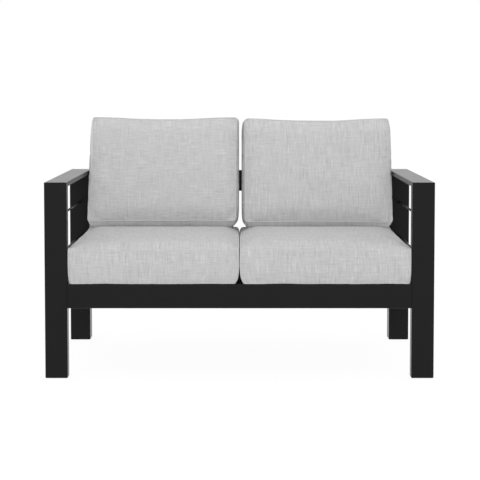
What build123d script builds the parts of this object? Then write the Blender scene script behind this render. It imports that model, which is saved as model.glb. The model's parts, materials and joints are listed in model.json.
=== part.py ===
from build123d import *
import math
import os

# A two-seat patio loveseat: a powder-coated aluminium frame that bolts together from two welded
# side frames, a seat frame and a back frame, with two seat cushions and two back cushions.
# All lengths are in millimetres. X runs across the seat, the front faces -Y and Z is up.
# The origin is on the floor under the middle of the frame. Left and right are as seen from the front.

# Overall frame
frame_width = 1280.0
frame_depth = 680.0
frame_height = 647.0

# Extruded tubes
tube_wall = 1.6
tube_corner = 2.5
tube_inner_corner = 0.8

# Side frames: two legs, the arm that joins them, a seat-level rail and two rods
leg_width = 74.0
front_leg_depth = 38.0
rear_leg_depth = 62.0
arm_thickness = 16.0
side_rail_thickness = 38.0
rod_radius = 4.0
front_leg_clearance = 2.0
rear_leg_clearance = 4.0

# Seat frame: front and rear rails, two end rails and a row of slats
seat_deck_height = 312.0
rail_height = 80.0
rail_depth = 38.0
end_rail_thickness = 25.0
end_rail_height = 50.0
seat_slat_width = 50.0
seat_slat_thickness = 15.0
seat_slat_count = 9

# Back frame: top rail, lower rail, upright slats and the end plates that bolt to the rear legs
back_frame_setback = 10.0
back_frame_thickness = 25.0
top_rail_drop = 3.0
top_rail_height = 78.0
lower_rail_height = 25.0
back_slat_width = 40.0
back_slat_thickness = 12.0
back_slat_count = 6
end_plate_thickness = 4.0
end_plate_drop = 30.0

# Bolts, washers and blind rivet nuts, all for the same thread
bolt_radius = 3.0
bolt_head_radius = 5.3
bolt_head_height = 3.3
bolt_head_round = 1.2
bolt_socket_across = 4.0
bolt_socket_depth = 2.0
bolt_hole_radius = 3.3
long_bolt_length = 40.0
short_bolt_length = 18.0
washer_radius = 7.0
washer_thickness = 1.2
rivet_nut_radius = 4.5
rivet_nut_length = 12.0
rivet_nut_bulb_radius = 5.8
rivet_nut_bulb_length = 3.0
seat_bolt_count = 3
back_bolt_count = 3

# Leg plugs and the screw feet of the rear legs
plug_edge_inset = 2.0
plug_corner = 2.0
plug_flange_thickness = 1.5
plug_insert_height = 22.0
plug_wall = 3.0
rear_plug_insert_height = 30.0
rear_plug_boss_width = 26.0
foot_pad_radius = 9.0
foot_pad_height = 6.2
foot_pad_floor = 2.4
foot_pad_round = 0.8
foot_disc_radius = 6.5
foot_disc_thickness = 1.7
foot_neck_radius = 3.0
foot_collar_across = 11.0
foot_collar_height = 3.0
foot_screw_radius = 4.0
foot_screw_length = 36.5
foot_nut_across = 13.0
foot_nut_height = 6.5

# Clearances
slip_clearance = 0.2
thread_clearance = 0.05
running_clearance = 0.1
soft_clearance = 0.3
recess_clearance = 0.8
cut_overrun = 1.0

# Cushions: a boxed foam block in a sewn cover, with a crown above each seam
cushion_corner = 16.0
cushion_draw_in = 5.0
cushion_bulge = 4.0
core_inset = 12.0
seat_cushion_boxing = 108.0
seat_cushion_crown = 20.0
seat_cushion_crown_reach = 62.0
seat_cushion_underside = 6.0
seat_cushion_underside_reach = 9.0
seat_cushion_front_gap = 3.0
seat_cushion_rear_gap = 5.0
seat_cushion_side_gap = 1.5
seat_cushion_middle_gap = 1.4
back_cushion_height = 396.0
back_cushion_boxing = 105.0
back_cushion_crown = 18.0
back_cushion_crown_reach = 70.0
back_cushion_rear_crown = 16.0
back_cushion_side_gap = 4.0
back_cushion_middle_gap = 4.0
back_cushion_sink = 6.5
back_cushion_dent = 1.3
back_cushion_lean = 12.0

# Heights of the two rods, as shares of the opening between the side rail and the arm
rod_height_shares = {"lower": 0.263, "upper": 0.671}

# How finely a cushion's rounding is stepped, and how much its corners widen as a crown closes in
crown_steps = 6
underside_steps = 3
boxing_steps = 4
crown_corner_share = 0.5

# Places that follow from the sizes
half_width = frame_width / 2
half_depth = frame_depth / 2
leg_inner_x = half_width - leg_width
leg_middle_x = half_width - leg_width / 2
front_leg_back_y = -half_depth + front_leg_depth
rear_leg_front_y = half_depth - rear_leg_depth
arm_underside = frame_height - arm_thickness
back_rear_y = half_depth - back_frame_setback
back_front_y = back_rear_y - back_frame_thickness
back_middle_y = (back_front_y + back_rear_y) / 2
front_rail_back_y = -half_depth + rail_depth
rear_rail_front_y = back_rear_y - rail_depth
rail_underside = seat_deck_height - rail_height
top_rail_top = frame_height - top_rail_drop
top_rail_underside = top_rail_top - top_rail_height
lower_rail_top = seat_deck_height + lower_rail_height

# Slats stand at even gaps, and the bolts of the lower back rail pass between them
seat_slat_pitch = (2 * (leg_inner_x - end_rail_thickness) + seat_slat_width) / (seat_slat_count + 1)
back_slat_pitch = (2 * leg_inner_x + back_slat_width) / (back_slat_count + 1)
back_bolt_pitch = 2 * back_slat_pitch
seat_bolt_pitch = (rear_rail_front_y - front_rail_back_y) / seat_bolt_count
seat_bolt_middle_y = (rear_rail_front_y + front_rail_back_y) / 2
seat_bolt_z = seat_deck_height - end_rail_height / 2

# The seat cushions fill the seat, and the back cushions stand on them and lean on the top rail
seat_cushion_width = leg_inner_x - seat_cushion_side_gap - seat_cushion_middle_gap / 2
seat_cushion_front_y = -half_depth + seat_cushion_front_gap
seat_cushion_depth = back_front_y - seat_cushion_rear_gap - seat_cushion_front_y
seat_cushion_top = (seat_deck_height + soft_clearance + seat_cushion_underside
                    + seat_cushion_boxing + seat_cushion_crown)
back_cushion_width = leg_inner_x - back_cushion_side_gap - back_cushion_middle_gap / 2
lean = math.radians(back_cushion_lean)
behind_seam = back_cushion_rear_crown + back_cushion_boxing
back_seam_height = seat_cushion_top - back_cushion_sink + behind_seam * math.sin(lean)
back_seam_y = (back_front_y + back_cushion_dent - behind_seam * math.cos(lean)
               - (top_rail_top - back_seam_height + behind_seam * math.sin(lean)) * math.tan(lean))

# Which way each axis runs for a section drawn square to it
SECTION_AXES = {
    "X": (Vector(0, 1, 0), Vector(1, 0, 0)),
    "Y": (Vector(1, 0, 0), Vector(0, 1, 0)),
    "Z": (Vector(1, 0, 0), Vector(0, 0, 1)),
}


def tube(low, high, along):
    """A rounded hollow section that fills the box from low to high, open along one axis."""
    axis = "XYZ".index(along)
    size = [top - bottom for bottom, top in zip(low, high)]
    origin = [(top + bottom) / 2 for bottom, top in zip(low, high)]
    origin[axis] = low[axis]
    wide, tall = [length for place, length in enumerate(size) if place != axis]
    across, forward = SECTION_AXES[along]
    plane = Plane(origin=origin, x_dir=across, z_dir=forward)
    skin = RectangleRounded(wide, tall, tube_corner)
    hollow = RectangleRounded(wide - 2 * tube_wall, tall - 2 * tube_wall, tube_inner_corner)
    return extrude(plane * (skin - hollow), amount=size[axis])


def block(low, high):
    """A plain block from its lowest to its highest corner."""
    size = [top - bottom for bottom, top in zip(low, high)]
    middle = [(top + bottom) / 2 for bottom, top in zip(low, high)]
    return Pos(*middle) * Box(*size)


def upright(radius, height, foot=(0, 0, 0)):
    """A cylinder that stands on a point."""
    return Pos(*foot) * Cylinder(radius, height, align=(Align.CENTER, Align.CENTER, Align.MIN))


def hexagon(across, height, foot_height):
    """A hexagonal prism on the Z axis, from a height upwards."""
    return Pos(0, 0, foot_height) * extrude(RegularPolygon(across / 2, 6, major_radius=False), amount=height)


def spread(count, pitch):
    """Evenly pitched places about zero."""
    return [(place - (count - 1) / 2) * pitch for place in range(count)]


# Where the bolts go: the point where the washer lies, the way the bolt points, the thickness it clamps
seat_bolt_seats = [
    ((side * (leg_inner_x - end_rail_thickness), seat_bolt_middle_y + y, seat_bolt_z),
     (side, 0, 0), end_rail_thickness)
    for side in (-1, 1)
    for y in spread(seat_bolt_count, seat_bolt_pitch)
]
back_bolt_seats = [
    ((x, back_middle_y, lower_rail_top), (0, 0, -1), lower_rail_height)
    for x in spread(back_bolt_count, back_bolt_pitch)
]
plate_bolt_seats = [
    ((side * (leg_inner_x - end_plate_thickness), back_middle_y, top_rail_underside - end_plate_drop / 2),
     (side, 0, 0), end_plate_thickness)
    for side in (-1, 1)
]


def at_seat(seat, distance=0.0):
    """The plane at a bolt's seat, or further along the bolt, with Z the way the bolt points."""
    point, direction, _ = seat
    return Plane(origin=Vector(*point) + Vector(*direction) * distance, z_dir=direction)


def bolt_hole(seat):
    """The clearance hole through what a bolt clamps."""
    clamped = seat[2]
    return at_seat(seat, -cut_overrun) * upright(bolt_hole_radius, clamped + 2 * cut_overrun)


def rivet_nut_hole(seat):
    """The hole through the tube wall that holds a rivet nut."""
    length = tube_wall + 2 * cut_overrun
    return at_seat(seat, seat[2] - cut_overrun) * upright(rivet_nut_radius + thread_clearance, length)


def bolt(length):
    """A button-head bolt, its head's underside at the origin and its shank up Z."""
    head = upright(bolt_head_radius, bolt_head_height, (0, 0, -bolt_head_height))
    head = fillet(head.edges().group_by(Axis.Z)[0], bolt_head_round)
    socket = hexagon(bolt_socket_across, bolt_socket_depth, -bolt_head_height)
    return head + upright(bolt_radius, length) - socket


def washer():
    """A plain washer, its lower face at the origin and its body down Z."""
    foot = (0, 0, -washer_thickness)
    return upright(washer_radius, washer_thickness, foot) - upright(bolt_hole_radius, washer_thickness, foot)


def rivet_nut():
    """A blind rivet nut set in a tube wall: sleeve and the bulb that grips behind the wall."""
    bulb = upright(rivet_nut_bulb_radius, rivet_nut_bulb_length, (0, 0, tube_wall))
    bore = upright(bolt_radius + thread_clearance, rivet_nut_length)
    return upright(rivet_nut_radius, rivet_nut_length) + bulb - bore


# Side frame, drawn on the right and mirrored to the left

def mitre(depth, outer_y):
    """The slanted weld plane where an arm meets a leg, facing up and away from the leg."""
    inwards = 1 if outer_y < 0 else -1
    normal = Vector(0, inwards * arm_thickness, depth)
    return Plane(origin=(0, outer_y, frame_height), x_dir=(1, 0, 0), z_dir=normal)


front_mitre = mitre(front_leg_depth, -half_depth)
rear_mitre = mitre(rear_leg_depth, half_depth)


def front_leg():
    low = (leg_inner_x, -half_depth, front_leg_clearance)
    high = (half_width, front_leg_back_y, frame_height)
    return split(tube(low, high, "Z"), bisect_by=front_mitre, keep=Keep.BOTTOM)


def rear_leg():
    low = (leg_inner_x, rear_leg_front_y, rear_leg_clearance)
    high = (half_width, half_depth, frame_height)
    leg = split(tube(low, high, "Z"), bisect_by=rear_mitre, keep=Keep.BOTTOM)
    return leg - rivet_nut_hole(plate_bolt_seats[1])


def arm():
    low = (leg_inner_x, -half_depth, arm_underside)
    high = (half_width, half_depth, frame_height)
    rail = split(tube(low, high, "Y"), bisect_by=front_mitre, keep=Keep.TOP)
    return split(rail, bisect_by=rear_mitre, keep=Keep.TOP)


def side_rail():
    low = (leg_inner_x, front_leg_back_y, rail_underside)
    high = (leg_inner_x + side_rail_thickness, rear_leg_front_y, seat_deck_height)
    rail = tube(low, high, "Y")
    for seat in seat_bolt_seats[seat_bolt_count:]:
        rail -= rivet_nut_hole(seat)
    return rail


def side_rod(height_share):
    length = rear_leg_front_y - front_leg_back_y
    height = seat_deck_height + (arm_underside - seat_deck_height) * height_share
    start = Plane(origin=(leg_middle_x, front_leg_back_y, height), z_dir=(0, 1, 0))
    return start * upright(rod_radius, length)


# Seat frame

def front_rail():
    low = (-leg_inner_x, -half_depth, rail_underside)
    high = (leg_inner_x, front_rail_back_y, seat_deck_height)
    return tube(low, high, "X")


def rear_rail():
    low = (-leg_inner_x, rear_rail_front_y, rail_underside)
    high = (leg_inner_x, back_rear_y, seat_deck_height)
    rail = tube(low, high, "X")
    for seat in back_bolt_seats:
        rail -= rivet_nut_hole(seat)
    return rail


def end_rail():
    low = (leg_inner_x - end_rail_thickness, front_rail_back_y, seat_deck_height - end_rail_height)
    high = (leg_inner_x, rear_rail_front_y, seat_deck_height)
    rail = tube(low, high, "Y")
    for seat in seat_bolt_seats[seat_bolt_count:]:
        rail -= bolt_hole(seat)
    return rail


def seat_slat(x):
    low = (x - seat_slat_width / 2, front_rail_back_y, seat_deck_height - seat_slat_thickness)
    high = (x + seat_slat_width / 2, rear_rail_front_y, seat_deck_height)
    return tube(low, high, "Y")


# Back frame

def top_rail():
    end_x = leg_inner_x - end_plate_thickness
    return tube((-end_x, back_front_y, top_rail_underside), (end_x, back_rear_y, top_rail_top), "X")


def lower_rail():
    low = (-leg_inner_x, back_front_y, seat_deck_height)
    high = (leg_inner_x, back_rear_y, lower_rail_top)
    rail = tube(low, high, "X")
    for seat in back_bolt_seats:
        rail -= bolt_hole(seat)
    return rail


def back_slat(x):
    low = (x - back_slat_width / 2, back_middle_y - back_slat_thickness / 2, lower_rail_top)
    high = (x + back_slat_width / 2, back_middle_y + back_slat_thickness / 2, top_rail_underside)
    return tube(low, high, "Z")


def end_plate():
    low = (leg_inner_x - end_plate_thickness, back_front_y, top_rail_underside - end_plate_drop)
    high = (leg_inner_x, back_rear_y, top_rail_top)
    return block(low, high) - bolt_hole(plate_bolt_seats[1])


# Leg plugs, drawn on the Z axis

def plug_shell(depth, leg_bottom, flange_thickness, insert_height):
    """The flange under a leg's end and the block that slides up inside the tube."""
    flange_foot = leg_bottom - flange_thickness
    flange = RectangleRounded(leg_width - 2 * plug_edge_inset, depth - 2 * plug_edge_inset, plug_corner)
    play = tube_wall + slip_clearance
    insert = RectangleRounded(leg_width - 2 * play, depth - 2 * play, plug_corner)
    return (Pos(0, 0, flange_foot) * extrude(flange, amount=flange_thickness)
            + Pos(0, 0, leg_bottom) * extrude(insert, amount=insert_height))


def front_plug():
    """A push-in plug, hollow from above with one stiffening web across its middle."""
    plug = plug_shell(front_leg_depth, front_leg_clearance, front_leg_clearance, plug_insert_height)
    play = tube_wall + slip_clearance + plug_wall
    cell_width = leg_width / 2 - play - plug_wall / 2
    for side in (-1, 1):
        cell = RectangleRounded(cell_width, front_leg_depth - 2 * play, plug_corner)
        middle_x = side * (plug_wall + cell_width) / 2
        height = plug_insert_height + cut_overrun
        plug -= Pos(middle_x, 0, front_leg_clearance + plug_wall) * extrude(cell, amount=height)
    return plug


collar_foot = foot_pad_height + slip_clearance
screw_foot = collar_foot + foot_collar_height
recess_top = screw_foot + recess_clearance
rear_plug_top = rear_leg_clearance + rear_plug_insert_height
foot_nut_foot = rear_plug_top - foot_nut_height


def rear_plug():
    """A push-in plug with a boss for the screw foot: recess below, bore, and nut pocket on top."""
    plug = plug_shell(rear_leg_depth, rear_leg_clearance, plug_flange_thickness, rear_plug_insert_height)
    play = tube_wall + slip_clearance + plug_wall
    cell_width = leg_width / 2 - play - rear_plug_boss_width / 2
    for side in (-1, 1):
        cell = RectangleRounded(cell_width, rear_leg_depth - 2 * play, plug_corner)
        middle_x = side * (rear_plug_boss_width + cell_width) / 2
        height = rear_plug_insert_height + cut_overrun
        plug -= Pos(middle_x, 0, rear_leg_clearance + plug_wall) * extrude(cell, amount=height)
    recess_foot = rear_leg_clearance - plug_flange_thickness - cut_overrun
    plug -= upright(foot_pad_radius + recess_clearance, recess_top - recess_foot, (0, 0, recess_foot))
    plug -= upright(foot_screw_radius + running_clearance, rear_plug_top)
    return plug - hexagon(foot_nut_across + 2 * slip_clearance, foot_nut_height + cut_overrun, foot_nut_foot)


def foot_nut():
    nut = hexagon(foot_nut_across, foot_nut_height, foot_nut_foot)
    return nut - upright(foot_screw_radius + running_clearance, foot_nut_height, (0, 0, foot_nut_foot))


def foot_pad():
    """The moulded pad that stands on the floor and holds the screw's disc."""
    pad = upright(foot_pad_radius, foot_pad_height)
    pad = fillet(pad.edges().group_by(Axis.Z)[0], foot_pad_round)
    socket_height = foot_disc_thickness + 2 * slip_clearance
    pad -= upright(foot_disc_radius + slip_clearance, socket_height, (0, 0, foot_pad_floor))
    return pad - upright(foot_neck_radius + slip_clearance, foot_pad_height, (0, 0, foot_pad_floor))


def foot_screw():
    """The levelling screw: a disc in the pad, a neck, a collar for a spanner and the thread."""
    disc_foot = foot_pad_floor + slip_clearance
    screw = upright(foot_disc_radius, foot_disc_thickness, (0, 0, disc_foot))
    screw += upright(foot_neck_radius, collar_foot - disc_foot, (0, 0, disc_foot))
    screw += hexagon(foot_collar_across, foot_collar_height, collar_foot)
    return screw + upright(foot_screw_radius, foot_screw_length, (0, 0, screw_foot))


# Cushions

def cushion_level(width, depth, height, inset):
    """One level of a cushion: four sides that draw in between four rounded corners."""
    half_x = width / 2 - inset
    half_y = depth / 2 - inset
    corner = cushion_corner + max(inset, 0) * crown_corner_share
    cut = corner * (1 - math.cos(math.radians(45)))
    edges = []
    for quarter, (along, away) in enumerate([(half_x, half_y), (half_y, half_x)] * 2):
        turn = Rot(0, 0, 90 * quarter)
        side = ThreePointArc((corner - along, -away), (0, cushion_draw_in - away), (along - corner, -away))
        end = ThreePointArc((along - corner, -away), (along - cut, cut - away), (along, corner - away))
        edges += [turn * side, turn * end]
    return Pos(0, 0, height) * Face(Wire(edges))


def quarter_ellipse(height, reach, steps):
    """Rise and inset of a rounding from a seam inwards, seam first and flat middle last."""
    angles = [math.radians(90) * step / steps for step in range(steps + 1)]
    return [(height * math.sin(angle), reach * (1 - math.cos(angle))) for angle in angles]


def cushion_form(width, depth, boxing, crown, crown_reach, underside, underside_reach, lower_steps):
    """A cushion's outer form, from its underside at zero height up to the top of its crown."""
    lower = [(underside - rise, inset)
             for rise, inset in reversed(quarter_ellipse(underside, underside_reach, lower_steps))]
    sides = [(underside + boxing * step / boxing_steps,
              -cushion_bulge * math.sin(math.pi * step / boxing_steps))
             for step in range(1, boxing_steps)]
    upper = [(underside + boxing + rise, inset)
             for rise, inset in quarter_ellipse(crown, crown_reach, crown_steps)]
    sewn_width = width - 2 * cushion_bulge
    sewn_depth = depth - 2 * cushion_bulge
    levels = [cushion_level(sewn_width, sewn_depth, height, inset)
              for height, inset in lower + sides + upper]
    return loft(levels, ruled=True)


def cushion_core(width, depth, boxing, underside, growth=0.0):
    """The foam block inside, as tall as the boxing, or the hollow that it lies in."""
    half_x = width / 2 - core_inset + growth
    half_y = depth / 2 - core_inset + growth
    return block((-half_x, -half_y, underside - growth), (half_x, half_y, underside + boxing + growth))


def seat_cushion():
    """Cover and foam core of one seat cushion, at the right-hand place."""
    form = cushion_form(seat_cushion_width, seat_cushion_depth, seat_cushion_boxing, seat_cushion_crown,
                        seat_cushion_crown_reach, seat_cushion_underside, seat_cushion_underside_reach,
                        underside_steps)
    foam = (seat_cushion_width, seat_cushion_depth, seat_cushion_boxing, seat_cushion_underside)
    x = (seat_cushion_middle_gap + seat_cushion_width) / 2
    y = seat_cushion_front_y + seat_cushion_depth / 2
    place = Pos(x, y, seat_deck_height + soft_clearance)
    cover = place * (form - cushion_core(*foam, growth=soft_clearance))
    return cover, place * cushion_core(*foam)


def back_cushion():
    """Cover and foam core of one back cushion, leaning on the top rail, at the right-hand place."""
    form = cushion_form(back_cushion_width, back_cushion_height, back_cushion_boxing, back_cushion_crown,
                        back_cushion_crown_reach, back_cushion_rear_crown, back_cushion_crown_reach,
                        crown_steps)
    foam = (back_cushion_width, back_cushion_height, back_cushion_boxing, back_cushion_rear_crown)
    x = (back_cushion_middle_gap + back_cushion_width) / 2
    to_seam = Pos(0, back_cushion_height / 2, -behind_seam)
    place = Pos(x, back_seam_y, back_seam_height) * Rot(90 - back_cushion_lean, 0, 0) * to_seam
    cover = place * (form - cushion_core(*foam, growth=soft_clearance))
    seat = block((-half_width, -half_depth, 0), (half_width, half_depth, seat_cushion_top + soft_clearance))
    low = (-half_width, back_front_y - soft_clearance, top_rail_underside - soft_clearance)
    high = (half_width, back_rear_y + soft_clearance, top_rail_top + soft_clearance)
    return cover - seat - block(low, high), place * cushion_core(*foam)


def write(name, shape):
    export_step(shape, "parts/" + name + ".step")


def write_pair(name, shape):
    """A piece drawn on the right, and its mirror image on the left."""
    write("right_" + name, shape)
    write("left_" + name, mirror(shape, about=Plane.YZ))


def write_moved_pair(name, shape, x, y):
    """A piece drawn on the Z axis, placed under or over a leg on each side."""
    write("right_" + name, Pos(x, y, 0) * shape)
    write("left_" + name, Pos(-x, y, 0) * shape)


os.makedirs("parts", exist_ok=True)

write_pair("front_leg", front_leg())
write_pair("rear_leg", rear_leg())
write_pair("arm", arm())
write_pair("side_rail", side_rail())
for level, height_share in rod_height_shares.items():
    write_pair(level + "_rod", side_rod(height_share))

write("front_rail", front_rail())
write("rear_rail", rear_rail())
write_pair("end_rail", end_rail())
for number, x in enumerate(spread(seat_slat_count, seat_slat_pitch), start=1):
    write("seat_slat_" + str(number), seat_slat(x))

write("top_rail", top_rail())
write("lower_back_rail", lower_rail())
write_pair("end_plate", end_plate())
for number, x in enumerate(spread(back_slat_count, back_slat_pitch), start=1):
    write("back_slat_" + str(number), back_slat(x))

front_leg_y = -half_depth + front_leg_depth / 2
rear_leg_y = half_depth - rear_leg_depth / 2
write_moved_pair("front_plug", front_plug(), leg_middle_x, front_leg_y)
write_moved_pair("rear_plug", rear_plug(), leg_middle_x, rear_leg_y)
write_moved_pair("foot_pad", foot_pad(), leg_middle_x, rear_leg_y)
write_moved_pair("foot_screw", foot_screw(), leg_middle_x, rear_leg_y)
write("foot_nuts", Compound([Pos(side * leg_middle_x, rear_leg_y, 0) * foot_nut() for side in (-1, 1)]))

long_bolt_seats = seat_bolt_seats + back_bolt_seats
all_seats = long_bolt_seats + plate_bolt_seats
long_bolts = [at_seat(seat, -washer_thickness) * bolt(long_bolt_length) for seat in long_bolt_seats]
short_bolts = [at_seat(seat, -washer_thickness) * bolt(short_bolt_length) for seat in plate_bolt_seats]
write("long_bolts", Compound(long_bolts))
write("short_bolts", Compound(short_bolts))
write("washers", Compound([at_seat(seat) * washer() for seat in all_seats]))
write("rivet_nuts", Compound([at_seat(seat, seat[2]) * rivet_nut() for seat in all_seats]))

seat_cover, seat_core = seat_cushion()
write_pair("seat_cushion_cover", seat_cover)
write_pair("seat_cushion_core", seat_core)
back_cover, back_core = back_cushion()
write_pair("back_cushion_cover", back_cover)
write_pair("back_cushion_core", back_core)
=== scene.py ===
# %% [markdown]
# # A two-seat patio loveseat
# The aluminium frame, its bolts and its screw feet come ready made, at their real size. This lesson
# dresses them: a powder coat, plastic and steel for the frame, and four sewn cushions that are
# inflated like real ones. All lengths are in metres. The front faces -Y, and Z is up.

# %% Load the frame
import json
import math

import bpy
import numpy as np
from mathutils import Matrix, Vector, noise
from mathutils.bvhtree import BVHTree


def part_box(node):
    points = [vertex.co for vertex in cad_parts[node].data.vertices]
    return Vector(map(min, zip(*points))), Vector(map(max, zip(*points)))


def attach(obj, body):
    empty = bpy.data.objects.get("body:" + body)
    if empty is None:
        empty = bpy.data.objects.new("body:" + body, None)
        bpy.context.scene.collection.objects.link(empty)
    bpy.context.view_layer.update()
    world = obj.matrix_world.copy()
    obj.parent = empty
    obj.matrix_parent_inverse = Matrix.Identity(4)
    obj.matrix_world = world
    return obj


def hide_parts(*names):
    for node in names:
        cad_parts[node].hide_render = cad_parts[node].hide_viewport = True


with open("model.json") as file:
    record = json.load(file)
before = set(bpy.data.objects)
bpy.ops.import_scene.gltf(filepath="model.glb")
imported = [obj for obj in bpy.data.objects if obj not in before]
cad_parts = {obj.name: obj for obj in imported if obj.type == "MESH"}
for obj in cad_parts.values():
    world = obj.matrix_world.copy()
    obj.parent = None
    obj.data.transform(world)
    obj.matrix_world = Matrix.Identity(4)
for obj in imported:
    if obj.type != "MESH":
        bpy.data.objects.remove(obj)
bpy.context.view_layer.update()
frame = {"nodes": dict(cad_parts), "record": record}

nodes = frame["nodes"]

# %% [markdown]
# ## The camera
# The object is seen from straight ahead, through a long lens, from a little above the seat. A camera
# could look level and shift its picture down, or tilt. Here it tilts by a few degrees and the rest is
# shift, which keeps the legs upright and leaves the object in the middle of other views.

# %% Camera
CAMERA_PLACE = (0.0017, -4.3903, 0.9564)
CAMERA_TILT = 3.0
CAMERA_LENS = 93.160
CAMERA_SHIFT = -0.1816
SENSOR_WIDTH = 36
FAR_AWAY = 200

camera = bpy.data.objects.new("camera", bpy.data.cameras.new("camera"))
camera.location = CAMERA_PLACE
camera.rotation_euler = (math.radians(90 - CAMERA_TILT), 0, 0)
camera.data.lens = CAMERA_LENS
camera.data.sensor_width = SENSOR_WIDTH
camera.data.shift_y = CAMERA_SHIFT
camera.data.clip_end = FAR_AWAY
bpy.context.scene.collection.objects.link(camera)
bpy.context.scene.camera = camera
print("camera", CAMERA_LENS, "mm at", CAMERA_PLACE)

# %% [markdown]
# ## Materials as written maths
# A material in Blender is a net of nodes. Wiring it by hand hides the idea, so one small class holds a
# socket and lets Python's own signs add the Math nodes: `1 - mask` is a Math node that subtracts.
# A second class holds a material and has one method for every other kind of node.

# %% Sockets that can be added and multiplied
class Socket:
    """An output of a node. Signs between sockets and numbers add Math nodes."""

    def __init__(self, finish, output):
        self.finish = finish
        self.output = output

    def maths(self, operation, first, second):
        return self.finish.node("ShaderNodeMath", {"operation": operation}, {0: first, 1: second})

    def __add__(self, other):
        return self.maths("ADD", self, other)

    def __sub__(self, other):
        return self.maths("SUBTRACT", self, other)

    def __rsub__(self, other):
        return self.maths("SUBTRACT", other, self)

    def __mul__(self, other):
        return self.maths("MULTIPLY", self, other)

    __radd__ = __add__
    __rmul__ = __mul__


class Finish:
    """A material and the nodes in it."""

    def __init__(self, name, world=None):
        self.material = world or bpy.data.materials.new(name)
        self.material.use_nodes = True
        self.tree = self.material.node_tree
        self.tree.nodes.clear()

    def node(self, kind, settings=None, inputs=None, output=0):
        """Adds a node: its settings first, then the values or links of its inputs."""
        made = self.tree.nodes.new(kind)
        for name, value in (settings or {}).items():
            setattr(made, name, value)
        for name, value in (inputs or {}).items():
            if isinstance(value, Socket):
                self.tree.links.new(value.output, made.inputs[name])
            else:
                made.inputs[name].default_value = value
        return Socket(self, made.outputs[output]) if len(made.outputs) else None

    def mix(self, share, first, second):
        """A colour between two colours."""
        return self.node("ShaderNodeMix", {"data_type": "RGBA"}, {0: share, 6: first, 7: second}, 2)

    def spots(self, where, size, stretch=(1, 1, 1), shift=0.0, detail=2.0):
        """Soft noise from 0 to 1 whose spots are about this size, stretched along an axis."""
        scale = tuple(1 / (size * length) for length in stretch)
        placed = self.node("ShaderNodeMapping", None,
                           {"Vector": where, "Location": (shift, shift / 2, shift / 3), "Scale": scale})
        return self.node("ShaderNodeTexNoise", None,
                         {"Vector": placed, "Scale": 1.0, "Detail": detail, "Roughness": 0.55})

    def relief(self, height, depth):
        """A bump of this depth in metres."""
        return self.node("ShaderNodeBump", None, {"Height": height, "Strength": 1.0, "Distance": depth})

    def surface(self, **sockets):
        """The surface itself, from the names of the shader's sockets with _ for a space."""
        inputs = {name.replace("_", " "): value for name, value in sockets.items()}
        shader = self.node("ShaderNodeBsdfPrincipled", None, inputs)
        self.node("ShaderNodeOutputMaterial", None, {"Surface": shader})
        return self.material


def grey(value, warmth=0.0):
    """A grey colour, a little warmer or cooler."""
    return (value * (1 + warmth), value, value * (1 - warmth), 1)


print("sockets and finishes are ready")

# %% [markdown]
# ## Powder coat
# The frame is aluminium tube with a satin black powder coat, baked on. Close up it has a fine orange
# peel, where the powder has flowed but not levelled, and a slightly uneven gloss. Black paint is never
# quite black: most of what it shows is the room, so its gloss matters more than its colour.

# %% Powder coat
PEEL_SIZE = 0.0016
PEEL_DEPTH = 0.00001
CLOUD_OF_GLOSS = 0.09


def powder_coat():
    coat = Finish("powder_coat")
    where = coat.node("ShaderNodeTexCoord", output=3)
    peel = coat.spots(where, PEEL_SIZE, detail=1.0)
    cloud = coat.spots(where, CLOUD_OF_GLOSS, shift=3.0)
    colour = coat.mix(cloud, grey(0.0038, -0.02), grey(0.0052, -0.02))
    return coat.surface(Base_Color=colour, Roughness=0.24 + cloud * 0.05, Specular_IOR_Level=0.18,
                        Normal=coat.relief(peel, PEEL_DEPTH))


finishes = {"frame_coat": powder_coat()}
print("finish:", finishes["frame_coat"].name)

# %% [markdown]
# ## Moulded plastic, steel and foam
# The leg plugs and foot pads are moulded polyethylene, dull with a fine grain. The bolts and washers
# are plain stainless steel with faint turning marks, and the rivet nuts, nuts and levelling screws are
# zinc plated, with the mottled bloom that plating has. The foam is off white with small open cells.

# %% Plastic, steel and foam
def moulded_plastic():
    plastic = Finish("moulded_plastic")
    where = plastic.node("ShaderNodeTexCoord", output=3)
    grain = plastic.spots(where, 0.0006)
    cloud = plastic.spots(where, 0.02, shift=5.0)
    colour = plastic.mix(cloud, grey(0.016), grey(0.026))
    return plastic.surface(Base_Color=colour, Roughness=0.48 + grain * 0.2, Specular_IOR_Level=0.4,
                           Normal=plastic.relief(grain, 0.00004))


def steel(name, shade, roughness, mark_size, stretch):
    """Bare or plated steel, with turning marks of a size and stretch."""
    metal = Finish(name)
    where = metal.node("ShaderNodeTexCoord", output=3)
    marks = metal.spots(where, mark_size, stretch)
    bloom = metal.spots(where, 0.006, shift=2.0)
    colour = metal.mix(bloom, grey(shade * 0.86, 0.01), grey(shade * 1.1, -0.01))
    return metal.surface(Base_Color=colour, Metallic=1.0, Roughness=roughness + marks * 0.18,
                         Normal=metal.relief(marks, 0.00001))


def foam_block():
    foam = Finish("foam_block")
    where = foam.node("ShaderNodeTexCoord", output=3)
    cells = foam.node("ShaderNodeTexVoronoi", None, {"Vector": where, "Scale": 700.0})
    cloud = foam.spots(where, 0.05)
    colour = foam.mix(cells * 0.5 + cloud * 0.5, grey(0.62, 0.06), grey(0.82, 0.05))
    return foam.surface(Base_Color=colour, Roughness=0.95, Specular_IOR_Level=0.1,
                        Normal=foam.relief(cells, 0.0004))


finishes["black_plastic"] = moulded_plastic()
finishes["stainless_steel"] = steel("stainless_steel", 0.56, 0.24, 0.0008, (1, 1, 6))
finishes["zinc_steel"] = steel("zinc_steel", 0.52, 0.34, 0.002, (1, 1, 1))
finishes["cushion_foam"] = foam_block()
print("finishes:", sorted(finishes))

# %% [markdown]
# ## Dress the frame
# Each ready-made piece names the slot of its finish, so one loop dresses them all. Only the cushions'
# stand-ins are left out, because sewn ones replace them below.

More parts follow.
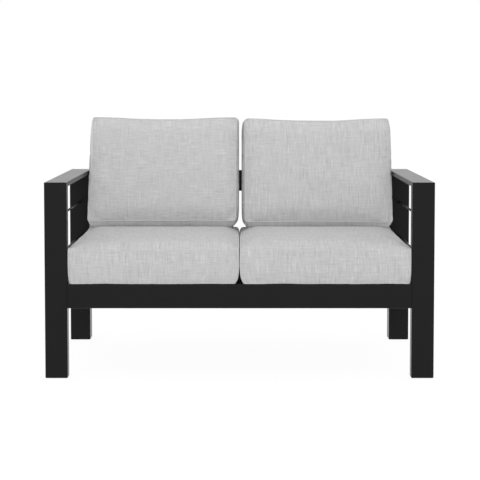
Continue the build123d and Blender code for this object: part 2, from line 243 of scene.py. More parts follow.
# %% Give each frame piece its finish
slots = {part["node"]: part["material_slot"] for part in frame["record"]["subparts"]}
for name, piece in nodes.items():
    slot = slots[name]
    if slot in finishes:
        piece.data.materials.clear()
        piece.data.materials.append(finishes[slot])
print("dressed:", sum(slot in finishes for slot in slots.values()))

# %% [markdown]
# ## Outdoor fabric
# The covers are a light grey, heathered plain weave. Its yarns are spun from darker and paler fibres,
# so both directions show a few thin streaks, some centimetres long, called slubs. A picture of cloth could
# be wrapped round each cushion, but noise stretched along the yarns never repeats and stays sharp.
# The cushions' meshes carry their own flat cloth coordinates in metres, named weave, so that the yarns
# run true on every panel and turn the corner with the side strip.

# %% Fabric
YARN_PITCH = 0.0011
SLUB_WIDTH = 0.0030
SLUB_LENGTHS = 16
SLUB_PEAKS = 12
SLUB_GROUND = 0.4
FIBRE_LENGTHS = 9
FIBRE_SHARE = 0.45
CLOUD_SIZE = 0.07
CLOUD_SHARE = 0.15
WEAVE_SHARE = 0.5
WEAVE_DEPTH = 0.00018


def slubs(cloth, flat, stretch, shift):
    """Sparse streaks along a yarn: mostly nothing, and here and there darker or paler."""
    streak = cloth.spots(flat, SLUB_WIDTH, stretch, shift) - 0.5
    return streak * (streak * streak * SLUB_PEAKS + SLUB_GROUND)


def outdoor_fabric(name, upright_slubs, level_slubs, shift, dark=0.40, pale=0.65):
    """The heathered weave. Each shift moves the noise, so that no two cushions are alike."""
    cloth = Finish(name)
    flat = cloth.node("ShaderNodeUVMap", {"uv_map": "weave"})
    level = slubs(cloth, flat, (SLUB_LENGTHS, 1, 1), shift) * level_slubs
    upright = slubs(cloth, flat, (1, SLUB_LENGTHS, 1), shift + 5) * upright_slubs
    fibres = (cloth.spots(flat, YARN_PITCH, (FIBRE_LENGTHS, 1, 1), shift + 7)
              + cloth.spots(flat, YARN_PITCH, (1, FIBRE_LENGTHS, 1), shift + 9) - 1) * FIBRE_SHARE
    cloud = (cloth.spots(flat, CLOUD_SIZE, shift=shift + 2) - 0.5) * CLOUD_SHARE
    tone = 0.5 + level + upright + fibres + cloud
    colour = cloth.mix(tone, grey(dark), grey(pale))
    turns = 2 * math.pi / YARN_PITCH
    waves = cloth.node("ShaderNodeMapping", None, {"Vector": flat, "Scale": (turns, turns, turns)})
    split = cloth.node("ShaderNodeSeparateXYZ", None, {"Vector": waves})
    across = Socket(cloth, split.output.node.outputs[1])
    over = cloth.node("ShaderNodeMath", {"operation": "SINE"}, {0: split})
    under = cloth.node("ShaderNodeMath", {"operation": "SINE"}, {0: across})
    weave = over * under * WEAVE_SHARE + fibres + level + upright
    return cloth.surface(Base_Color=colour, Roughness=0.9, Specular_IOR_Level=0.15, Sheen_Weight=0.08,
                         Sheen_Roughness=0.5, Normal=cloth.relief(weave, WEAVE_DEPTH))


fabrics = {
    "left_seat_cushion": outdoor_fabric("fabric_left_seat", 1.7, 1.2, 0.3),
    "right_seat_cushion": outdoor_fabric("fabric_right_seat", 1.8, 1.2, 1.7),
    # The back cushions' copies of the same fabric are painted lighter, with paler greys: painted light from
    # above.
    "left_back_cushion": outdoor_fabric("fabric_left_back", 1.1, 1.7, 3.1, 0.425, 0.69),
    "right_back_cushion": outdoor_fabric("fabric_right_back", 1.75, 1.0, 4.9, 0.425, 0.69),
}
# The seam edges' cloth is a paler copy of the weave: a painted highlight along the seams.
painted_highlight_fabric = outdoor_fabric("fabric_seam_painted_highlight", 0.6, 0.6, 2.2, 0.48, 0.70)
print("fabrics:", sorted(fabrics))

# %% [markdown]
# ## The cut of a cushion
# A boxed cushion is two panels and a strip, the boxing, sewn between them. The foam and fibre inside
# push the panels up in a crown and the boxing out in a bulge, the sides pull in between the corners,
# and the corners stand out a little. The seat cushions have a waterfall front: their top panel runs on
# over the front edge, so no seam shows there. A cube with a subdivision would lose the seams, so the
# mesh is laid out as the cloth is: a grid for each panel and rows of quads for the strip. The grid's
# square corners are turned into round ones, ring by ring.

# %% Grid of one panel
CELL = 0.009
BOXING_ROWS = 12


def grid_lines(half, corner):
    """Places of the grid lines across a panel: fine in the corners and even between them."""
    corner_cells = max(3, round(corner / CELL))
    middle_cells = round(2 * (half - corner) / CELL)
    edge = np.linspace(0, corner, corner_cells + 1)[:-1]
    middle = np.linspace(corner - half, half - corner, middle_cells + 1)
    return np.concatenate([edge - half, middle, (half - edge)[::-1]])


def round_corners(x, y, half_x, half_y, corner):
    """Turns the square corners of a grid into quarter circles."""
    past_x = np.clip(abs(x) - (half_x - corner), 0, corner)
    past_y = np.clip(abs(y) - (half_y - corner), 0, corner)
    far = np.maximum(past_x, past_y)
    near = np.minimum(past_x, past_y)
    angle = np.pi / 4 * near / np.maximum(far, 1e-9)
    long_way, short_way = far * np.cos(angle), far * np.sin(angle)
    new_x = np.where(past_x >= past_y, long_way, short_way)
    new_y = np.where(past_x >= past_y, short_way, long_way)
    return x + np.sign(x) * (new_x - past_x), y + np.sign(y) * (new_y - past_y)


def crown_rise(inside, reach, softness):
    """Share of the crown's height at a distance inside the seam: from 0.5, an ellipse, to 1, softer."""
    share = 1 - np.clip(inside / reach, 0, 1)
    return (1 - share ** 2) ** softness


TIP_POWER = 6


def panels(size, half_x, half_y):
    """Top and bottom panel of a cushion as rows of points, with the grid that they share."""
    near_corner, far_corner = size["corners"]
    lines_x, lines_y = grid_lines(half_x, near_corner), grid_lines(half_y, near_corner)
    square_x, square_y = (part.ravel() for part in np.meshgrid(lines_x, lines_y, indexing="ij"))
    corner = np.where(square_y < 0, near_corner, far_corner)
    x, y = round_corners(square_x, square_y, half_x, half_y, corner)
    side_pull, near_pull, far_pull = size["draw_in"]
    end_pull = np.where(y < 0, near_pull, far_pull)
    drawn_x = x * (1 - side_pull / half_x * (1 - (y / half_y) ** 2))
    inner_half = np.clip(size["inner"] * x / half_x, 0, 1)
    drawn_x -= size["inner"] * size["rear_gap"] * inner_half * np.clip(y / half_y, 0, 1)
    drawn_y = y * (1 - end_pull / half_y * (1 - (x / half_x) ** 2) ** 2)
    inside_x, inside_y = half_x - abs(square_x), half_y - abs(square_y)
    dome = np.cos(square_x / half_x * np.pi / 2) * np.cos(square_y / half_y * np.pi / 2)
    outer_rear = np.clip(-size["inner"] * square_x / half_x, 0, 1) * np.clip(square_y / half_y, 0, 1)
    tips = (size["corner_lift"] * (square_x * square_y / half_x / half_y) ** TIP_POWER
            + size["rear_lift"] * outer_rear ** TIP_POWER)

    def panel(height, crown, reach, extra, insets):
        inset = np.where(x * size["inner"] < 0, *insets)
        softness = size["softness"]
        rise = crown_rise(inside_x, reach, softness) * crown_rise(inside_y, reach, softness)
        return np.column_stack([drawn_x * (1 - inset / half_x), drawn_y, height + crown * rise + extra])

    seam_height = size["under"] + size["boxing"]
    top = panel(seam_height, size["crown"], size["reach"], size["dome"] * dome + tips, (0, 0))
    bottom = panel(size["under"], -size["under"], size["under_reach"], 0, size["lower_inset"])
    return top, bottom, np.column_stack([x, y]), (len(lines_x), len(lines_y))


print("a panel cell is", CELL, "wide and the boxing has", BOXING_ROWS, "rows")

# %% [markdown]
# ## The boxing and the whole mesh
# The strip runs from the top seam to the bottom seam in rows that lie closer near the seams, where the
# cloth turns most. Its bulge is larger at the sides than at the ends. A back cushion stands on its
# lower strip, which sags onto the seat just behind its front seam. Quads join everything into one
# closed mesh, and each face gets its flat cloth coordinates.

# %% Lay out one cushion
SLACK_SHARE = 1.2
SAG_REACH = 0.35
INNER_STEEPNESS, OUTER_STEEPNESS = 16, 24


def strip_bulge(size, share, outline, outward, half_x, half_y):
    """How far the strip stands out at a share of the way down from the top seam."""
    sideways, towards_near = outward[:, 0] ** 2, np.clip(-outward[:, 1], 0, 1) ** 2
    along = outline[:, 1] / half_y
    inner_side = outward[:, 0] * size["inner"] > 0
    slack = 1 - np.where(inner_side, size["firm_inner_ends"] * along ** 4,
                         size["firm_far_end"] * along * abs(along))
    arch = math.sin(math.pi * share) ** size["fullness"]
    slack_cloth = SLACK_SHARE * size["rear_gap"] * np.clip(along, 0, 1) * inner_side
    side_bulge = size["side_bulge"] * slack + slack_cloth
    bulge = arch * (side_bulge * sideways + size["end_bulge"] * (1 - sideways))
    sag = size["sag"] * (1 - share) * math.sin(math.pi / 2 * min(share / SAG_REACH, 1))
    steep = np.where(outline[:, 0] * size["inner"] > 0, INNER_STEEPNESS, OUTER_STEEPNESS)
    sag = sag * (1 - np.clip(abs(outline[:, 0]) / half_x, 0, 1) ** steep)
    return (bulge + sag * towards_near)[:, None]


def lay_out(size):
    """Points, faces, cloth coordinates, seam rings and corner places of a cushion, its foot at zero."""
    half_x, half_y = size["width"] / 2 - size["side_bulge"], size["depth"] / 2 - size["end_bulge"]
    top, bottom, flat, (count_x, count_y) = panels(size, half_x, half_y)
    place = np.arange(count_x * count_y).reshape(count_x, count_y)
    ring = np.concatenate([place[:-1, 0], place[-1, :-1], place[:0:-1, -1], place[0, :0:-1]])
    corners = np.cumsum([0, count_x - 1, count_y - 1, count_x - 1])
    outline, low_outline = top[ring, :2], bottom[ring, :2]
    high, low = top[ring, 2], bottom[ring, 2]
    ahead = np.roll(outline, -1, 0) - np.roll(outline, 1, 0)
    outward = np.column_stack([ahead[:, 1], -ahead[:, 0]]) / np.linalg.norm(ahead, axis=1)[:, None]
    run = np.concatenate([[0], np.cumsum(np.linalg.norm(np.diff(outline, axis=0), axis=1))]) - half_x

    shares = (1 - np.cos(np.pi * np.arange(BOXING_ROWS + 1) / BOXING_ROWS)) / 2
    rows = []
    for share in shares[1:-1]:
        middle = outline + (low_outline - outline) * share ** size["turn_in"]
        level = middle + outward * strip_bulge(size, share, outline, outward, half_x, half_y)
        rows.append(np.column_stack([level, high * (1 - share) + low * share]))
    points = np.concatenate([top] + rows + [bottom])
    bottom_start = len(top) + len(ring) * len(rows)
    rings = [ring] + [np.arange(len(ring)) + len(top) + len(ring) * row for row in range(len(rows))]
    rings.append(ring + bottom_start)

    quads = np.column_stack([part.ravel() for part in (place[:-1, :-1], place[1:, :-1],
                                                       place[1:, 1:], place[:-1, 1:])])
    faces = [quads, quads[:, ::-1] + bottom_start]
    weave = [flat[quads], (flat * (-1, 1))[quads[:, ::-1]]]
    depths = -half_y - shares * size["boxing"]
    start, end = run, np.append(run[1:], run[-1] + CELL)
    for row in range(BOXING_ROWS):
        upper, lower = rings[row], rings[row + 1]
        faces.append(np.column_stack([upper, lower, np.roll(lower, -1), np.roll(upper, -1)]))
        level = np.tile([depths[row], depths[row + 1], depths[row + 1], depths[row]], (len(ring), 1))
        weave.append(np.stack([np.column_stack([start, start, end, end]), level], axis=2))
    return points, np.concatenate(faces), np.concatenate(weave), rings, corners


def cloth_mesh(name, points, faces, weave):
    """A mesh whose cloth coordinates are in metres."""
    mesh = bpy.data.meshes.new(name)
    mesh.from_pydata(points.tolist(), [], faces.tolist())
    layer = mesh.uv_layers.new(name="weave")
    layer.data.foreach_set("uv", weave.reshape(-1).astype(np.float32))
    mesh.shade_smooth()
    return mesh


SEAT_SIZE = {
    "width": 0.5700, "depth": 0.6395, "boxing": 0.1105, "waterfall": True, "corners": (0.008, 0.020),
    "crown": 0.018, "reach": 0.070, "softness": 0.70, "dome": 0.006,
    "corner_lift": 0.003, "rear_lift": 0.006, "under": 0.0035, "under_reach": 0.008,
    "draw_in": (0.001, 0.001, 0.004), "lower_inset": (0.005, 0.012),
    "side_bulge": 0.004, "end_bulge": 0.003, "fullness": 0.35, "firm_far_end": 0.0, "firm_inner_ends": 0.0,
    "rear_gap": 0.006, "sag": 0.0, "turn_in": 5,
}
BACK_SIZE = {
    "width": 0.560, "boxing": 0.105, "waterfall": False,
    "crown": 0.015, "reach": 0.060, "softness": 0.55, "dome": 0.004, "corner_lift": 0.0, "rear_lift": 0.0,
    "under": 0.016, "under_reach": 0.070, "draw_in": (0.001, 0.001, 0.0085), "lower_inset": (-0.011, 0.0),
    "side_bulge": 0.013, "end_bulge": 0.004, "fullness": 0.70, "firm_far_end": 0.6, "firm_inner_ends": 0.5,
    "rear_gap": 0.0, "sag": 0.036, "turn_in": 3,
}
print("a seat cushion has", len(lay_out(dict(SEAT_SIZE, inner=1))[1]), "quads before it is smoothed")

# %% [markdown]
# ## Where the cushions stand
# A seat cushion lies flat on the slats. A back cushion stands on the seat cushions and leans back on
# the top rail. Each is sewn lying flat, with its crown up, and then carried to its place, so one
# recipe makes all four. No two are quite alike: the left back cushion leans a little aside, and the
# right one stands a little lower and further from the middle.

# %% Places of the cushions
LEAN = 12.0
SEAT_OVERHANG = 0.0028
BACK_SEAM_Y = 0.145
BACK_SEAM_Z = {"left": 0.4690, "right": 0.4655}
BACK_DEPTH = {"left": 0.3940, "right": 0.3924}
BACK_CORNERS = {"left": (0.013, 0.007), "right": (0.013, 0.012)}
LEAN_ASIDE = {"left": 0.004, "right": 0.0}
BACK_MIDDLE = {"left": -0.2814, "right": 0.2862}
SIDES = {"left": -1, "right": 1}


def seat_place(side):
    low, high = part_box(side + "_seat_cushion_cover")
    front_y = low.y - SEAT_OVERHANG
    return Matrix.Translation(((low.x + high.x) / 2, front_y + SEAT_SIZE["depth"] / 2, low.z))


def back_place(side, size):
    seam = Matrix.Translation((BACK_MIDDLE[side], BACK_SEAM_Y, BACK_SEAM_Z[side]))
    lean = Matrix.Rotation(math.radians(90 - LEAN), 4, "X")
    half_y = size["depth"] / 2 - size["end_bulge"]
    return seam @ lean @ Matrix.Translation((0, half_y, -size["under"] - size["boxing"]))


cushions = {}
for side in SIDES:
    seat_size = dict(SEAT_SIZE, inner=-SIDES[side])
    back_size = dict(BACK_SIZE, inner=-SIDES[side], depth=BACK_DEPTH[side], corners=BACK_CORNERS[side])
    stands = back_place(side, back_size)
    cushions[side + "_seat_cushion"] = {"side": side, "size": seat_size, "place": seat_place(side)}
    cushions[side + "_back_cushion"] = {"side": side, "size": back_size, "place": stands}
for name, cushion in cushions.items():
    print(name, "stands at", [round(v, 3) for v in cushion["place"].translation])

# %% [markdown]
# ## Seam lines
# The seams decide everything: the cloth is held along them and free between them. A boxed cover has one
# round each panel. On the waterfall seat cover the top panel's seams come down the two front corners
# instead, and meet the bottom seam there. Short seams close the strip at two of the corners.

# %% Where the seams run
def seam_lines(rings, corners, waterfall):
    """Rows of point numbers along each seam, and whether the seam closes on itself."""
    columns = [np.array([ring[corner] for ring in rings]) for corner in corners]
    bottom = (rings[-1], True)
    if waterfall:
        over_the_top = np.concatenate([columns[1][::-1], rings[0][corners[1] + 1:], columns[0]])
        return [(over_the_top, False), bottom, (columns[2], False), (columns[3], False)]
    return [(rings[0], True), bottom, (columns[0], False), (columns[1], False)]


for name, cushion in cushions.items():
    points, faces, weave, rings, corners = lay_out(cushion["size"])
    obj = bpy.data.objects.new(name, cloth_mesh(name, points, faces, weave))
    bpy.context.scene.collection.objects.link(obj)
    seams = seam_lines(rings, corners, cushion["size"]["waterfall"])
    cushion.update(obj=obj, points=points, rings=rings, corners=corners, seams=seams)
print("seams on each cushion:", [len(cushion["seams"]) for cushion in cushions.values()])

# %% [markdown]
# ## Fill the covers
# A real cover is cut a little larger than its foam, and the filling holds it tight from inside. The
# cloth simulation does the same: the seams are pinned, the cloth between them has a little spare
# length, and pressure fills it. That gives the soft pull and small puckers beside the seams that a
# drawn crown lacks. No point may move far, so the cushion keeps its size.

# %% Cloth simulation
PRESSURE = 4.0
SPARE_CLOTH = -0.015
MOVE_LIMIT = 0.005
LAST_FRAME = 20


def start_filling(obj, seams):
    """Pins the seams and lets pressure push the cloth out."""
    pins = obj.vertex_groups.new(name="seams")
    pins.add([int(point) for line, _ in seams for point in line], 1.0, "REPLACE")
    cloth = obj.modifiers.new("filling", "CLOTH")
    cloth.settings.vertex_group_mass = "seams"
    cloth.settings.quality = 5
    cloth.settings.mass = 0.3
    cloth.settings.tension_stiffness = 15
    cloth.settings.compression_stiffness = 15
    cloth.settings.shear_stiffness = 5
    cloth.settings.bending_stiffness = 0.4
    cloth.settings.shrink_min = SPARE_CLOTH
    cloth.settings.use_pressure = True
    cloth.settings.uniform_pressure_force = PRESSURE
    cloth.settings.effector_weights.gravity = 0
    cloth.collision_settings.use_collision = False
    cloth.point_cache.frame_end = LAST_FRAME


def mesh_points(mesh):
    flat = np.empty(len(mesh.vertices) * 3, np.float32)
    mesh.vertices.foreach_get("co", flat)
    return flat.reshape(-1, 3).astype(float)


def filled_points(obj, start):
    """Where the cloth has gone, with each point's move held under the limit."""
    moved = mesh_points(obj.evaluated_get(bpy.context.evaluated_depsgraph_get()).data)
    step = moved - start
    length = np.maximum(np.linalg.norm(step, axis=1), 1e-9)
    return start + step * (MOVE_LIMIT * np.tanh(length / MOVE_LIMIT) / length)[:, None]


for cushion in cushions.values():
    start_filling(cushion["obj"], cushion["seams"])
for step in range(1, LAST_FRAME + 1):
    bpy.context.scene.frame_set(step)
for name, cushion in cushions.items():
    cushion["points"] = filled_points(cushion["obj"], cushion["points"])
    cushion["obj"].modifiers.clear()
    cushion["obj"].vertex_groups.clear()
    print(name, "swelled to", np.ptp(cushion["points"], axis=0).round(4))
bpy.context.scene.frame_set(1)

# %% [markdown]
# ## Settle the cushions
# Filling and cloth are never even, so each cushion gets its own slow waves of a millimetre or two.
# Their noise has a fixed seed. Without one it starts from the clock, and no two runs are the same.
# Then it is carried to its place and pressed flat where it touches something: the seat cushions on the
# slats, between the legs and under the back cushions, and the back cushions on the seat, side by side,
# and against the top rail. Where two seat cushions meet, a narrow groove stays open at the front, and
# a back cushion's lower edge tucks in at its outer side.

# %% Carry, press and smooth
WAVE = 0.0014
WAVES_A_METRE, RIPPLES_A_METRE = 9, 28
RIPPLE_SHARE = 0.3
WAVE_SHIFT = 7.3
WAVE_SEED = 1
SEAT_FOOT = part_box("left_seat_cushion_cover")[0].z
RAIL_LOW, RAIL_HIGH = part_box("top_rail")
PRESSED_SEAT = 0.4478
PRESSED_FROM, PRESSED_FADE = 0.15, 0.04
FREE_SEAT = 0.0045
BEDDING, BEDDING_REACH = 0.0030, 0.012
TOUCH = 0.0004
CONTACT_TOP, ABOVE_CUSHIONS = 0.49, 0.6
RAIL_YIELD = 0.9
FRONT_GROOVE = 0.0020
GROOVE_END, GROOVE_FADE = -0.20, 0.05
SEAT_EDGES = {"left": (-0.5627, -0.0009), "right": (-0.0007, 0.5630)}
FOOT_TUCK = 0.012
BACK_EDGES = {"left": (-0.5612, -0.0018), "right": (0.0076, 0.5650)}
noise.seed_set(WAVE_SEED)


def uneven(points, seed):
    """Slow waves over a cushion, the same each time."""
    moved = points.copy()
    for place, point in enumerate(points):
        drift = noise.noise_vector(Vector(point) * WAVES_A_METRE + Vector((seed, 0, 0)))
        ripple = noise.noise_vector(Vector(point) * RIPPLES_A_METRE + Vector((0, seed, 0)))
        moved[place] += (np.array(drift) + RIPPLE_SHARE * np.array(ripple)) * WAVE
    return moved


def press_seat(points, side):
    """The slats carry a seat cushion, and a back cushion presses on its rear part."""
    low, high = SEAT_EDGES[side]
    apart = FRONT_GROOVE * np.clip((GROOVE_END - points[:, 1]) / GROOVE_FADE, 0, 1)
    points[:, 0] = np.clip(points[:, 0], low + apart * (side == "right"), high - apart * (side == "left"))
    in_front = np.clip((PRESSED_FROM - points[:, 1]) / PRESSED_FADE, 0, 1)
    bedded = points[:, 2] - BEDDING * np.clip(1 - (points[:, 2] - SEAT_FOOT) / BEDDING_REACH, 0, 1)
    points[:, 2] = np.clip(bedded, SEAT_FOOT, PRESSED_SEAT + FREE_SEAT * in_front)
    return points


def press_back(points, side, seat):
    """The seat cushions and the top rail carry a back cushion."""
    low, high = BACK_EDGES[side]
    seam_z = BACK_SEAM_Z[side]
    tucked = FOOT_TUCK * np.clip((seam_z - points[:, 2]) / (seam_z - PRESSED_SEAT), 0, 1)
    points[:, 0] = np.clip(points[:, 0], low + tucked * (side == "left"), high - tucked * (side == "right"))
    for point in points[points[:, 2] < CONTACT_TOP]:
        under = seat.ray_cast(Vector((point[0], point[1], ABOVE_CUSHIONS)), Vector((0, 0, -1)))[0]
        if under:
            point[2] = max(point[2], under.z + TOUCH)
    above = np.clip(points[:, 2] - RAIL_HIGH.z, 0, None)
    below = np.clip(RAIL_LOW.z - points[:, 2], 0, None)
    points[:, 1] = np.minimum(points[:, 1], RAIL_LOW.y - TOUCH + RAIL_YIELD * (above + below))
    return points


def apply_modifiers(obj):
    """Turns what the modifiers show into the mesh itself."""
    settled = bpy.data.meshes.new_from_object(obj.evaluated_get(bpy.context.evaluated_depsgraph_get()))
    obj.modifiers.clear()
    obj.data = settled


def settle(name, cushion, placed):
    """Gives the cushion its pressed points and one subdivision."""
    obj = cushion["obj"]
    obj.data.vertices.foreach_set("co", placed.astype(np.float32).ravel())
    obj.data.update()
    obj.modifiers.new("smooth", "SUBSURF").levels = 1
    apply_modifiers(obj)
    obj.data.materials.append(fabrics[name])
    cushion["placed"] = mesh_points(obj.data)
    print(name, "has", len(obj.data.polygons), "quads")


carried = {}
for number, (name, cushion) in enumerate(cushions.items()):
    place, points = np.array(cushion["place"]), uneven(cushion["points"], WAVE_SHIFT * number)
    if "back" in name:
        half_y = cushion["size"]["depth"] / 2
        points[:, 0] += LEAN_ASIDE[cushion["side"]] * (1 + points[:, 1] / half_y) / 2
    carried[name] = points @ place[:3, :3].T + place[:3, 3]
seat_points, seat_faces = [], []
for side in SIDES:
    name = side + "_seat_cushion"
    settle(name, cushions[name], press_seat(carried[name], side))
    start = len(seat_points)
    seat_points += cushions[name]["placed"].tolist()
    quads = cushions[name]["obj"].data.polygons
    seat_faces += [[start + corner for corner in quad.vertices] for quad in quads]
seat = BVHTree.FromPolygons(seat_points, seat_faces)
for side in SIDES:
    name = side + "_back_cushion"
    settle(name, cushions[name], press_back(carried[name], side, seat))

# %% [markdown]
# ## Seams
# Panel and boxing are sewn together and turned, which leaves a thin raised edge all the way along. It
# shows as a pale line where the light catches it, and its cloth is a paler copy of the weave, a painted
# highlight. A bevelled curve could follow it, but a tube of quads can take the same weave as the panels, so
# the edge is built from the seam's own points.

# %% Raised seam edges
SEAM_RADIUS = {"seat": 0.0017, "back": 0.0021}
SEAM_SIDES = 8
ROUND_STEP = 0.0021
CLOSED_END = 0.00003


def tube_along(path, radius, sides, closed, middle):
    """Points, quads and cloth coordinates of a tube along a path that bends round a middle."""
    ahead = np.roll(path, -1, 0) - np.roll(path, 1, 0)
    thickness = np.full(len(path), radius) if np.isscalar(radius) else radius.copy()
    if not closed:
        ahead[0], ahead[-1] = path[1] - path[0], path[-1] - path[-2]
        thickness[[0, -1]] = CLOSED_END
    ahead /= np.linalg.norm(ahead, axis=1)[:, None]
    outward = path - middle
    outward -= ahead * np.sum(outward * ahead, axis=1)[:, None]
    outward /= np.linalg.norm(outward, axis=1)[:, None]
    sideways = np.cross(ahead, outward)
    angles = np.arange(sides) * 2 * np.pi / sides
    points = np.concatenate([path + thickness[:, None] * (math.cos(a) * outward + math.sin(a) * sideways)
                             for a in angles])
    run = np.concatenate([[0], np.cumsum(np.linalg.norm(np.diff(path, axis=0), axis=1))])
    faces, weave = [], []
    for side in range(sides):
        this, other = side * len(path), (side + 1) % sides * len(path)
        round_this, round_other = side * ROUND_STEP, (side + 1) * ROUND_STEP
        for step in range(len(path) if closed else len(path) - 1):
            after = (step + 1) % len(path)
            faces.append((this + step, this + after, other + after, other + step))
            start, end = run[step], run[step] + CELL
            weave.append([(start, round_this), (end, round_this), (end, round_other), (start, round_other)])
    return points, np.array(faces), np.array(weave)


def tube_object(name, material, *tube):
    """A tube as an object of its own."""
    mesh = cloth_mesh(name, *tube_along(*tube))
    mesh.materials.append(material)
    made = bpy.data.objects.new(name, mesh)
    bpy.context.scene.collection.objects.link(made)
    return made


def join_into(obj, others):
    """Joins other objects into one."""
    with bpy.context.temp_override(active_object=obj, selected_editable_objects=[obj] + others):
        bpy.ops.object.join()


for name, cushion in cushions.items():
    radius = SEAM_RADIUS["seat" if "seat" in name else "back"]
    middle = cushion["placed"].mean(axis=0)
    edges = [tube_object("seam_edge", painted_highlight_fabric, cushion["placed"][line], radius, SEAM_SIDES,
                         closed, middle) for line, closed in cushion["seams"]]
    join_into(cushion["obj"], edges)
    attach(cushion["obj"], "frame")
    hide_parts(name + "_cover")
    0.85 if "seat" in name else 0.7
print("seams sewn on", len(cushions), "cushions")

# %% [markdown]
# ## Zips
# Each cover comes off for washing, so it has a zip where nobody sees it: along the rear strip of a seat
# cushion, and low on the rear panel of a back cushion. A coil zip is a tube with a rib for each turn of
# the coil, a slider with a pull tab, and a stitched line above and below. The rib and the stitch are
# both the tube from above, with a radius that changes along it.

# %% Zips and their stitches
COIL_RADII = (0.0022, 0.0015)
STITCH_RADII = (0.0007, 0.0007, 0.0007, 0.0002)
ZIP_STEP = 0.0011
ZIP_ROWS = (6, 5, 7)
END_CELLS = 4
STITCH_SHARE = 0.6
STITCH_RISE = 0.0004
SLIDER_STEP = 0.004
SLIDER_HALF, SLIDER_EDGE = (0.0055, 0.0042, 0.0030), 0.0012
TAB_HALF, TAB_EDGE = (0.0095, 0.0024, 0.0007), 0.0005
TAB_PLACE = (0.011, 0, 0.0028)


def zip_rows(name, cushion):
    """Point numbers of the row that the zip follows, and of the rows above and below it."""
    rings, corners = cushion["rings"], cushion["corners"]
    if "seat" in name:
        return [rings[row][corners[2]:corners[3] + 1] for row in ZIP_ROWS]
    along = corners[2] - corners[1] + 1
    return [rings[-1][0] + np.arange(corners[1] + 1) * along + column for column in ZIP_ROWS]


def even_path(path, step):
    """The same path with points at an even step."""
    run = np.concatenate([[0], np.cumsum(np.linalg.norm(np.diff(path, axis=0), axis=1))])
    places = np.linspace(0, run[-1], round(run[-1] / step) + 1)
    return np.column_stack([np.interp(places, run, path[:, axis]) for axis in range(3)])


def ribbed(path, radii, material, middle):
    """A tube along a path whose radius runs through a short list again and again."""
    path = even_path(path, ZIP_STEP)
    return tube_object("ribbed", material, path, np.resize(radii, len(path)), SEAM_SIDES, False, middle)


def soft_block(name, half, place, width, material):
    """A block with soft edges."""
    signs = [(x, y, z) for x in (-1, 1) for y in (-1, 1) for z in (-1, 1)]
    corners = [place @ Vector([sign * size for sign, size in zip(each, half)]) for each in signs]
    sides = [(0, 1, 3, 2), (4, 6, 7, 5), (0, 4, 5, 1), (2, 3, 7, 6), (0, 2, 6, 4), (1, 5, 7, 3)]
    mesh = bpy.data.meshes.new(name)
    mesh.from_pydata([tuple(corner) for corner in corners], [], sides)
    mesh.shade_smooth()
    block = bpy.data.objects.new(name, mesh)
    bpy.context.scene.collection.objects.link(block)
    bevel = block.modifiers.new("soft_edges", "BEVEL")
    bevel.width, bevel.segments = width, 3
    apply_modifiers(block)
    block.data.materials.append(material)
    return block


def zip_slider(path, outward, material):
    """A slider at the start of the zip and the tab that hangs from it."""
    along = Vector(path[8] - path[4]).normalized()
    facing = Matrix((along, Vector(outward).cross(along), Vector(outward))).transposed().to_4x4()
    place = Matrix.Translation(path[6]) @ facing
    body = soft_block("slider", SLIDER_HALF, place, SLIDER_EDGE, material)
    tab_place = place @ Matrix.Translation(TAB_PLACE)
    return [body, soft_block("tab", TAB_HALF, tab_place, TAB_EDGE, material)]


for name, cushion in cushions.items():
    axes = np.array(cushion["place"])[:3, :3]
    outward = axes[:, 1] if "seat" in name else -axes[:, 2]
    middle = cushion["placed"].mean(axis=0)
    line, above, below = [cushion["placed"][row[END_CELLS:-END_CELLS]] for row in zip_rows(name, cushion)]
    coil = ribbed(line + outward * COIL_RADII[1], COIL_RADII, finishes["black_plastic"], middle)
    coil.name = name.replace("cushion", "zip")
    rise = outward * STITCH_RISE
    # The stitches take the seam edges' paler cloth, a painted highlight.
    pieces = [ribbed(line + (edge - line) * STITCH_SHARE + rise, STITCH_RADII, painted_highlight_fabric, middle)
              for edge in (above, below)]
    pieces += zip_slider(even_path(line, SLIDER_STEP), outward, finishes["black_plastic"])
    join_into(coil, pieces)
    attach(coil, "frame")
print("zips:", [name.replace("cushion", "zip") for name in cushions])

# %% [markdown]
# ## Weld beads
# The rods run from leg to leg and are welded at both ends. A bead is a ring of small overlapping
# pools, so the same tube closes on itself here, with a radius that swells once for each pool.

# %% Weld beads at the rods
BEAD_RADIUS = 0.0019
BEAD_POOLS = 14
POINTS_A_POOL = 5
POOL_SWELL = 0.35


def weld_bead(middle, rod_radius):
    """A ring of small pools round a rod that runs along Y."""
    steps = np.arange(BEAD_POOLS * POINTS_A_POOL)
    turn = 2 * np.pi * steps / len(steps)
    ring = np.array(middle) + rod_radius * np.column_stack([np.cos(turn), 0 * turn, np.sin(turn)])
    radii = BEAD_RADIUS * (1 - POOL_SWELL * (1 - steps % POINTS_A_POOL / POINTS_A_POOL))
    return tube_object("bead", finishes["frame_coat"], ring, radii, SEAM_SIDES, True, np.array(middle))


for side in SIDES:
    beads = []
    for rod in (side + "_upper_rod", side + "_lower_rod"):
        low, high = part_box(rod)
        centre = (low + high) / 2
        for y in (low.y, high.y):
            beads.append(weld_bead((centre.x, y, centre.z), (high.z - low.z) / 2))
    beads[0].name = side + "_rod_welds"
    join_into(beads[0], beads[1:])
    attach(beads[0], "frame")
print("weld beads at the rods of", len(SIDES), "sides")

# %% [markdown]
# ## Foam cores
# Inside each cover lies a block of foam with soft edges. It never shows, but it is there on the real
# object, and a part that is taken apart needs it. A block with bevelled edges is enough.

# %% Foam cores
CORE_INSET = 0.012
CORE_EDGE = 0.006


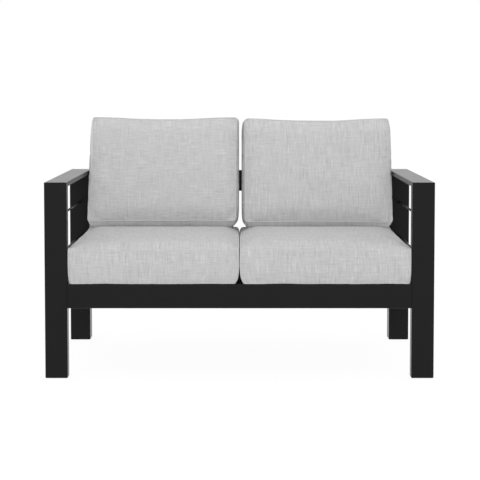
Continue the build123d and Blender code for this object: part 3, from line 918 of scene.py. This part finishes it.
def foam_core(name, size, place):
    half = (size["width"] / 2 - CORE_INSET, size["depth"] / 2 - CORE_INSET, size["boxing"] / 2)
    middle = Matrix.Translation((0, 0, size["under"] + size["boxing"] / 2))
    return soft_block(name, half, place @ middle, CORE_EDGE, finishes["cushion_foam"])


for name, cushion in cushions.items():
    core = foam_core(name.replace("cushion", "foam_core"), cushion["size"], cushion["place"])
    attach(core, "frame")
    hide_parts(name + "_core")
print("foam cores:", len(cushions))

# %% [markdown]
# ## Floor, backdrop and light
# The loveseat stands in a white studio. A white wall could be built, but then it would also light the
# fabric. Instead the camera and the reflections see plain white, and soft light from all around and a
# wide lamp near the camera light the object, with a weaker one overhead. What the camera sees of the
# floor is mostly a white glow, mixed with a little real white paint that keeps a faint shadow.

# %% Studio
WHITE = (1, 1, 1, 1)
DOME_STRENGTH = 0.96
FLOOR_GLOW = 1.025
GLOW_SHARE = 0.93
FLOOR_PAINT = (0.9, 0.9, 0.9, 1)
FLOOR_REACH = 40.0
LAMP_AIM = Vector((0, 0, 0.4))


def studio_world():
    world = bpy.data.worlds.new("studio")
    bpy.context.scene.world = world
    room = Finish("studio", world)
    path = room.node("ShaderNodeLightPath")
    outs = path.output.node.outputs
    seen = path + Socket(room, outs["Is Glossy Ray"]) + Socket(room, outs["Is Transmission Ray"])
    backdrop = room.node("ShaderNodeBackground", None, {"Color": WHITE, "Strength": 1.0})
    dome = room.node("ShaderNodeBackground", None, {"Color": WHITE, "Strength": DOME_STRENGTH})
    either = room.node("ShaderNodeMixShader", None, {0: seen, 1: dome, 2: backdrop})
    room.node("ShaderNodeOutputWorld", None, {"Surface": either})


def studio_floor():
    paint = Finish("studio_floor")
    path = paint.node("ShaderNodeLightPath")
    outs = path.output.node.outputs
    seen = path + Socket(paint, outs["Is Glossy Ray"]) + Socket(paint, outs["Is Transmission Ray"])
    glow = paint.node("ShaderNodeEmission", None, {"Color": WHITE, "Strength": FLOOR_GLOW})
    matt = paint.node("ShaderNodeBsdfDiffuse", None, {"Color": FLOOR_PAINT})
    both = paint.node("ShaderNodeMixShader", None, {0: seen * GLOW_SHARE, 1: matt, 2: glow})
    paint.node("ShaderNodeOutputMaterial", None, {"Surface": both})
    mesh = bpy.data.meshes.new("studio_floor")
    corners = [(x * FLOOR_REACH, y * FLOOR_REACH, 0) for x, y in ((-1, -1), (1, -1), (1, 1), (-1, 1))]
    mesh.from_pydata(corners, [], [(0, 1, 2, 3)])
    mesh.materials.append(paint.material)
    floor = bpy.data.objects.new("studio_floor", mesh)
    bpy.context.scene.collection.objects.link(floor)


def soft_lamp(name, place, size, power):
    """A round lamp that faces the middle of the loveseat."""
    lamp = bpy.data.objects.new(name, bpy.data.lights.new(name, "AREA"))
    lamp.data.shape = "DISK"
    lamp.data.size = size
    lamp.data.energy = power
    lamp.location = place
    lamp.rotation_euler = (LAMP_AIM - Vector(place)).to_track_quat("-Z", "Y").to_euler()
    bpy.context.scene.collection.objects.link(lamp)


studio_world()
studio_floor()
soft_lamp("front_lamp", (0, -5.5, 2.2), 3.0, 42)
soft_lamp("overhead_lamp", (0, -0.6, 4.0), 4.0, 12)
bpy.context.scene.view_settings.view_transform = "Standard"
print("studio is lit")
